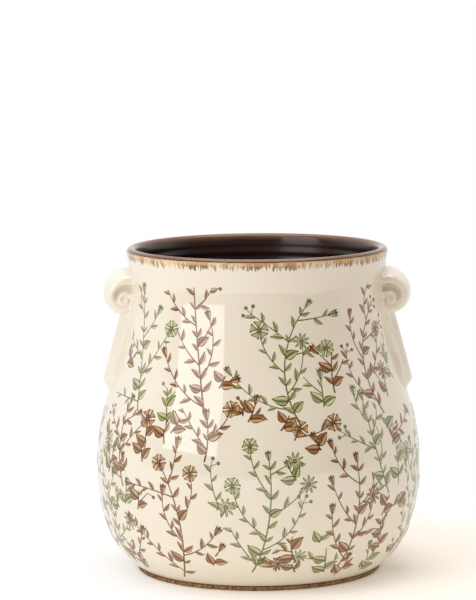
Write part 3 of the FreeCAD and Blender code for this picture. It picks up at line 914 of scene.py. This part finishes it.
def bell_shape(u, v):
    half = 0.05 + 0.27 * math.sin(math.pi * 0.62 * v)
    return to_edge(u) * half, v * (1 + 0.13 * math.cos(math.tau * u) * v), leaf_tone(u, v)


def stem_shape(u, v):
    return u, v, 0.56


def berry():
    deselect()
    bpy.ops.mesh.primitive_circle_add(vertices=10, radius=0.5, fill_type="TRIFAN")
    piece = bpy.context.object
    set_tones(piece, [0.9 if vertex.co.length < 0.1 else 0.0 for vertex in piece.data.vertices])
    return piece


def wreath(name, petal, count, eye):
    """A blossom: petals set round an eye."""
    pieces = []
    for index in range(count):
        copy = add_object(name, petal.data.copy())
        copy.data.transform(Matrix.Rotation(math.tau * index / count, 4, "Z"))
        pieces.append(copy)
    middle = berry()
    middle.data.transform(Matrix.Scale(eye, 4))
    return join([*pieces, middle])


def make_patterns():
    petal = flat_mark("petal", 4, 4, petal_shape)
    ray = flat_mark("ray", 2, 3, ray_shape)
    return {
        "leaf": flat_mark("leaf", 4, 5, leaf_shape(half_width=0.185, fullness=0.8, bend=0.08)),
        "broad": flat_mark("broad", 4, 6, leaf_shape(half_width=0.31, fullness=0.7, bend=-0.06)),
        "bell": flat_mark("bell", 4, 4, bell_shape),
        "stem": flat_mark("stem", 1, STEM_ROWS, stem_shape),
        "stalk": flat_mark("stalk", 1, STALK_ROWS, stem_shape),
        "berry": berry(),
        "blossom": wreath("blossom", petal, 5, eye=0.42),
        "daisy": wreath("daisy", ray, 9, eye=0.5),
        "petal": petal,
        "ray": ray,
    }


def along_wall(run, depth):
    """Radius and height at a distance up the wall from the foot."""
    for arc in ARCS:
        centre, low, high, sense = arc
        reach = math.dist(centre, low)
        turn = turn_of(centre, low, high)
        if run <= reach * abs(turn) or arc is LIP_ARC:
            break
        run -= reach * abs(turn)
    angle = math.atan2(low[1] - centre[1], low[0] - centre[0]) + math.copysign(run / reach, turn)
    pulled = reach - sense * depth
    return centre[0] + pulled * math.cos(angle), centre[1] + pulled * math.sin(angle)


def on_path(path, share):
    """Place and heading at a share of the way along a stem."""
    at = min(share, 0.999) * STEM_ROWS
    row = int(at)
    return between(path[row], path[row + 1], at % 1)


class Field:
    """Remembers which places on the wall are taken, and by which sprig."""

    def __init__(self):
        self.cells = {}
        self.flowers = []

    def flower_near(self, place):
        return any(math.dist(place, other) < FLOWER_ROOM for other in self.flowers)

    def cell(self, place):
        return tuple(math.floor(value / FIELD_CELL) for value in place)

    def add(self, place, owner):
        self.cells.setdefault(self.cell(place), []).append((place, owner))

    def near(self, place, room, owner):
        """True where another owner has a place within the room."""
        around = itertools.product(*((value - 1, value, value + 1) for value in self.cell(place)))
        taken = [entry for cell in around for entry in self.cells.get(cell, ())]
        return any(other is not owner and math.dist(place, spot) < room for spot, other in taken)


class Sprig:
    """Marks of one sprig on a flat sheet, which is laid on the wall beside its foot."""

    def __init__(self, field, seed, azimuth, run, ink):
        self.field = field
        self.draw = random.Random(seed)
        self.azimuth = azimuth
        self.run = run
        self.ink = ink
        self.shade = self.draw.uniform(*SHADES)
        self.marks = []
        self.spots = []

    def lay(self, x, y, depth=0.0):
        """Where a point of the sheet comes on the wall."""
        radius, height = along_wall(self.run + y, depth)
        angle = self.azimuth + x / radius
        return radius * math.cos(angle), radius * math.sin(angle), height

    def free(self, x, y, room):
        """True on the printed stretch of the wall, away from the handles and other sprigs."""
        if self.run + y < PRINT_LOW:
            return False
        place = self.lay(x, y)
        beside = abs(place[1]) > HANDLE_ROOM or place[2] < HANDLE_FREE
        return beside and place[2] < PRINT_HIGH and not self.field.near(place, room, self)

    def grow(self, x, y, heading, length, curl):
        """Places and headings along a stem. A heading turns from upright to the right."""
        path = [(x, y, heading)]
        for step in range(STEM_ROWS):
            heading += curl / STEM_ROWS
            x += math.sin(heading) * length / STEM_ROWS
            y += math.cos(heading) * length / STEM_ROWS
            path.append((x, y, heading))
        return path

    def stem(self, x, y, heading, length, curl, half, kind="stem"):
        """A stem, shortened where it has no room. Gives its path and length."""
        path = self.grow(x, y, heading, length, curl)
        kept = 0
        while kept < STEM_ROWS and self.free(*path[kept + 1][:2], STEM_ROOM):
            kept += 1
        share = kept / STEM_ROWS
        if length * share < SHORTEST_STEM:
            return None, 0.0
        if share < 1:
            path = self.grow(x, y, heading, length * share, curl * share)
        self.marks.append((kind, path, half, STEM_NARROW * half))
        return path, length * share

    def mark(self, kind, x, y, heading, size):
        """A leaf or flower, left out where it has no room."""
        shift, radius = MARK_SPOTS[kind]
        middle = (x + shift * size * math.sin(heading), y + shift * size * math.cos(heading))
        reach = radius * size
        if any(math.dist(middle, spot[:2]) < SPOT_ROOM * (reach + spot[2]) for spot in self.spots):
            return
        if kind in WREATHS:
            place = self.lay(x, y)
            edges = ((x + size, y), (x - size, y), (x, y + size), (x, y - size))
            if self.field.flower_near(place) or not all(self.free(*edge, LEAF_ROOM) for edge in edges):
                return
            self.field.flowers.append(place)
        if self.free(x + size * math.sin(heading), y + size * math.cos(heading), LEAF_ROOM):
            self.marks.append((kind, x, y, heading, size))
            self.spots.append((*middle, reach))

    def berries(self, x, y, heading):
        for spread in BERRY_SPREADS:
            path, _ = self.stem(x, y, heading + spread, BERRY_STALK, BERRY_CURL, STALK_HALF, "stalk")
            if path:
                self.mark("berry", *path[-1], BERRY)

    def flower(self, x, y, heading):
        kind = self.draw.choice(FLOWERS)
        if kind == "berry":
            self.berries(x, y, heading)
        else:
            sizes = BELLS if kind == "bell" else WREATH_SIZES
            self.mark(kind, x, y, heading, self.draw.uniform(*sizes) * MM)

    def leaves(self, path, count, size, pairs):
        """Leaves along a stem, by turns left and right or in pairs, smaller towards its tip."""
        side = self.draw.choice((-1, 1))
        for index in range(count):
            side = -side
            share = (index + 0.7) / (count + 0.3)
            x, y, turn = on_path(path, share)
            long = size * self.draw.uniform(*LEAF_SCALES) * (1.1 - 0.3 * share)
            self.mark("leaf", x, y, turn + side * self.draw.uniform(*LEAF_TURNS), long)
            if pairs and index % 3:
                other = turn - side * self.draw.uniform(*LEAF_TURNS)
                self.mark("leaf", x, y, other, PAIR_SCALE * long)

    def twig(self, x, y, heading, length, curl):
        path, length = self.stem(x, y, heading, length, curl, TWIG_HALF)
        if path:
            self.flower(*path[-1])
            self.leaves(path, max(2, round(length / TWIG_LEAF_STEP)), TWIG_LEAF, False)

    def fill(self, length, lean):
        """Grows the whole sprig from its foot and takes its places."""
        curl = -2 * lean + self.draw.uniform(*STEM_BENDS)
        path, length = self.stem(0, 0, lean, length, curl, STEM_HALF)
        if not path:
            return
        self.flower(*path[-1])
        side = self.draw.choice((-1, 1))
        for share in BROAD_SHARES[self.ink:]:
            side = -side
            x, y, turn = on_path(path, share)
            heading = turn + side * self.draw.uniform(*BROAD_TURNS)
            self.mark("broad", x, y, heading, self.draw.uniform(*BROADS) * MM)
        self.leaves(path, max(2, round(length / STEM_LEAF_STEP)), STEM_LEAF, True)
        twigs = round(length / TWIG_STEP)
        for index in range(twigs):
            side = -side
            share = (index + self.draw.uniform(*TWIG_PLACES)) / (twigs + 0.6)
            x, y, turn = on_path(path, share)
            reach = self.draw.uniform(*TWIGS) * (1.1 - 0.5 * share) * MM
            bend = -side * self.draw.uniform(*TWIG_BENDS)
            self.twig(x, y, turn + side * self.draw.uniform(*TWIG_TURNS), reach, bend)
        for mark in self.marks:
            spots = mark[1][::2] if mark[0] in STEMS else [flat_place(mark, tip) for tip in MARK_TIPS]
            for spot in spots:
                self.field.add(self.lay(*spot[:2]), self)


def flat_place(mark, point):
    """Where a point of a mark lies on the flat sheet."""
    if mark[0] in STEMS:
        kind, path, wide, narrow = mark
        x, y, heading = on_path(path, point.y)
        half = blend(wide, narrow, point.y) * point.x
        return x + half * math.cos(heading), y - half * math.sin(heading)
    kind, x, y, heading, size = mark
    across, along = point.x * size, point.y * size
    sine, cosine = math.sin(heading), math.cos(heading)
    return x + across * cosine + along * sine, y - across * sine + along * cosine


def print_mark(mark, pattern, sprig, depth):
    """A copy of a mark, laid on the wall."""
    copy = add_object("mark", pattern.data.copy())
    for vertex in copy.data.vertices:
        vertex.co = sprig.lay(*flat_place(mark, vertex.co), depth)
    shade = sprig.shade + sprig.draw.uniform(*SHADE_CHANGES)
    for entry in copy.data.uv_layers[TONE_MAP].data:
        entry.uv.y = shade
    return copy


def grow_print():
    """All sprigs: rows of tall ones in both inks by turns, and small ones in the gaps."""
    field = Field()
    made = []
    for row, (run, count, length) in enumerate(ROWS):
        for index in range(count):
            draw = random.Random(100 * row + index)
            azimuth = math.tau * (index + 0.5 * row + draw.uniform(*ROW_SHIFTS)) / count
            seed = draw.random()
            foot = run + draw.uniform(*ROW_RISES) * MM
            sprig = Sprig(field, seed, azimuth, foot, (index + row) % 2)
            lean = (ROW_LEAN if row % 2 else -ROW_LEAN) * draw.uniform(*ROW_LEANS)
            sprig.fill(length * draw.uniform(*ROW_SCALES), lean)
            made.append(sprig)
    draw = random.Random(FILLERS)
    for index in range(FILLERS):
        azimuth, run = draw.uniform(0, math.tau), draw.uniform(*FILLER_RUNS) * MM
        sprig = Sprig(field, draw.random(), azimuth, run, BROWN_INK if index % 3 else GREEN_INK)
        if sprig.free(0, 0, SPRIG_ROOM):
            sprig.fill(draw.uniform(*FILLER_LENGTHS) * MM, draw.uniform(*FILLER_LEANS))
            made.append(sprig)
    return made


def print_layer(name, patterns, sprigs, depth):
    """One ink: every mark of its sprigs, stems lowest and flowers on top."""
    pieces = []
    for sprig in sprigs:
        for mark in sprig.marks:
            raised = MARK_STEP * MARK_STEPS.get(mark[0], 1)
            pieces.append(print_mark(mark, patterns[mark[0]], sprig, depth - raised))
    made = join(pieces)
    made.name = name
    add_modifier(made, "SOLIDIFY", thickness=FILM, offset=-1)
    smooth(made)
    return made


# outline, fill and pale fill
GREENS = ((0.065, 0.072, 0.016), (0.43, 0.44, 0.155), (0.88, 0.86, 0.63))
BROWNS = ((0.07, 0.02, 0.004), (0.41, 0.175, 0.038), (0.90, 0.70, 0.41))
# each ink: piece, finish, depth under the hard outline, colours
INKS = (
    ("green_print", "green_ink", 0.065 * MM, GREENS),
    ("brown_print", "brown_ink", 0.04 * MM, BROWNS),
)
LINE_LIGHT = 0.2
FILL_TONES, PALE_TONES = (0.5, 0.7), (0.66, 0.92)


def ink(name, outline, fill, pale):
    """Printed ink under gloss: dark outlines, and fills that differ from mark to mark."""
    finish = Finish.material(name)
    marks = finish.node("UVMap", "UV", {}, uv_map=TONE_MAP)
    tone, shade = finish.part(marks, "X"), finish.part(marks, "Y")
    lit = finish.mix(shade, fill, pale)
    line = finish.mix(finish.math("MULTIPLY", shade, LINE_LIGHT), outline, fill)
    deep = finish.mix(finish.span(tone, *FILL_TONES), line, fill)
    shaded = finish.mix(finish.span(tone, *PALE_TONES, kind="LINEAR"), deep, lit)
    finish.set(Base_Color=shaded, Roughness=0.04, IOR=GLAZE_IOR)
    return finish.made


def floral_print():
    patterns = make_patterns()
    grown = grow_print()
    for number, (name, finish, depth, colours) in enumerate(INKS):
        sprigs = [sprig for sprig in grown if sprig.ink == number]
        dress(print_layer(name, patterns, sprigs, depth), ink(finish, *colours), "cream_glaze")
    deselect()
    for piece in patterns.values():
        bpy.data.objects.remove(piece)


# stage, light and camera

CAMERA_BACK = 1.7
CAMERA_HEIGHT = 0.3572
CAMERA_PITCH = 0.12235
CAMERA_YAW = math.radians(0.357)
CAMERA_ROLL = math.radians(-0.42)
LENS = 187.5


def camera():
    data = bpy.data.cameras.new("camera")
    data.lens = LENS
    data.clip_end = 50
    made = add_object("camera", data)
    tilt = Matrix.Rotation(math.pi / 2 - CAMERA_PITCH, 4, "X")
    yaw, roll = Matrix.Rotation(CAMERA_YAW, 4, "Z"), Matrix.Rotation(CAMERA_ROLL, 4, "Z")
    made.matrix_world = Matrix.Translation((0, -CAMERA_BACK, CAMERA_HEIGHT)) @ yaw @ tilt @ roll
    bpy.context.scene.camera = made


SKY_LEFT = (0.53, 0.526, 0.513)
SKY_RIGHT = (0.59, 0.52, 0.435)
SKY_WARMS = (-0.8, 0.8)
SKY_HORIZON, SKY_ZENITH = 0.52, 1.0
ROOM = (0.25, 0.245, 0.24)
ROOM_ENDS = (-0.5, 0.2)
WHITE = (1, 1, 1)


def world():
    """White behind the pot, a dim room in front of it, light that warms towards the right."""
    finish = Finish(bpy.data.worlds.new("studio"), "Background")
    bpy.context.scene.world = finish.made
    toward = finish.node("TexCoord", "Generated", {})
    warm = finish.mix(finish.span(finish.part(toward, "X"), *SKY_WARMS), SKY_LEFT, SKY_RIGHT)
    rise = finish.span(finish.part(toward, "Z"), 0, 1, SKY_HORIZON, SKY_ZENITH, "LINEAR")
    sky = finish.node("VectorMath", "Vector", {0: warm, "Scale": rise}, operation="SCALE")
    mirrored = finish.mix(finish.span(finish.part(toward, "Y"), *ROOM_ENDS), ROOM, WHITE)
    lit = finish.mix(finish.ray("Glossy"), sky, mirrored)
    finish.set(Color=finish.mix(finish.seen(), lit, WHITE), Strength=1.0)


FLOOR_SIZE = 2.2
FLOOR_GLOW = 0.18
FLOOR_COLOUR = (0.96, 0.91, 0.845)
SHADOW_MIDDLE = (-0.06, 0.0, 0.0)
FLOOR_NEAR, FLOOR_FAR = 0.1, 0.17


def floor():
    """Pale floor that keeps the shadow near the pot and is plain white further out."""
    deselect()
    bpy.ops.mesh.primitive_plane_add(size=FLOOR_SIZE)
    made = bpy.context.object
    made.name = "floor"
    finish = Finish.material("pale_floor")
    finish.set(Base_Color=FLOOR_COLOUR, Roughness=0.9, Specular_IOR_Level=0.0)
    glow = finish.node("Emission", "Emission", {"Strength": FLOOR_GLOW})
    lit = finish.node("AddShader", "Shader", {0: finish.shader.outputs["BSDF"], 1: glow})
    white = finish.node("Emission", "Emission", {})
    away = finish.length(finish.place(move=SHADOW_MIDDLE))
    shown = finish.math("MAXIMUM", finish.seen(), finish.ray("Glossy"))
    fade = finish.math("MULTIPLY", finish.span(away, FLOOR_NEAR, FLOOR_FAR), shown)
    both = finish.node("MixShader", "Shader", {0: fade, 1: lit, 2: white})
    finish.feed(finish.tree.nodes["Material Output"].inputs["Surface"], both)
    made.data.materials.append(finish.made)


def softbox(name, azimuth, tilt, away, middle, width, height, level):
    """A rectangular lamp at an azimuth from the camera, left is minus, tilted down to the pot."""
    data = bpy.data.lights.new(name, "AREA")
    data.shape = "RECTANGLE"
    data.size, data.size_y = width, height
    data.energy = level * math.pi * width * height
    made = add_object(name, data)
    turn = math.radians(azimuth)
    place = Matrix.Translation((away * math.sin(turn), -away * math.cos(turn), middle))
    facing = Matrix.Rotation(turn, 4, "Z") @ Matrix.Rotation(math.radians(90 - tilt), 4, "X")
    made.matrix_world = place @ facing


def studio():
    camera()
    world()
    floor()
    softbox(
        "left_softbox", azimuth=-47, tilt=0, away=0.5, middle=0.376, width=0.36, height=0.5, level=2.05
    )
    softbox(
        "top_softbox", azimuth=180, tilt=90, away=0.06, middle=0.95, width=0.8, height=0.9, level=2.3
    )


def main():
    cream = cream_glaze()
    dress(outer_glaze(), cream, "cream_glaze", "outer_glaze")
    dress(lip_band(), lip_wash(), "lip_wash", "lip_band")
    dress(liner(), brown_glaze(), "brown_glaze", "liner_glaze")
    foot = frame["nodes"]["clay_body"]
    foot.data.materials.clear()
    foot.data.materials.append(bare_clay())
    right = right_handle()
    left = opposite(right, "left_scroll_handle")
    dress(right, cream, "cream_glaze", "right_handle")
    dress(left, cream, "cream_glaze", "left_handle")
    floral_print()
    studio()
    bpy.context.scene.view_settings.view_transform = "Standard"


main()
deselect()
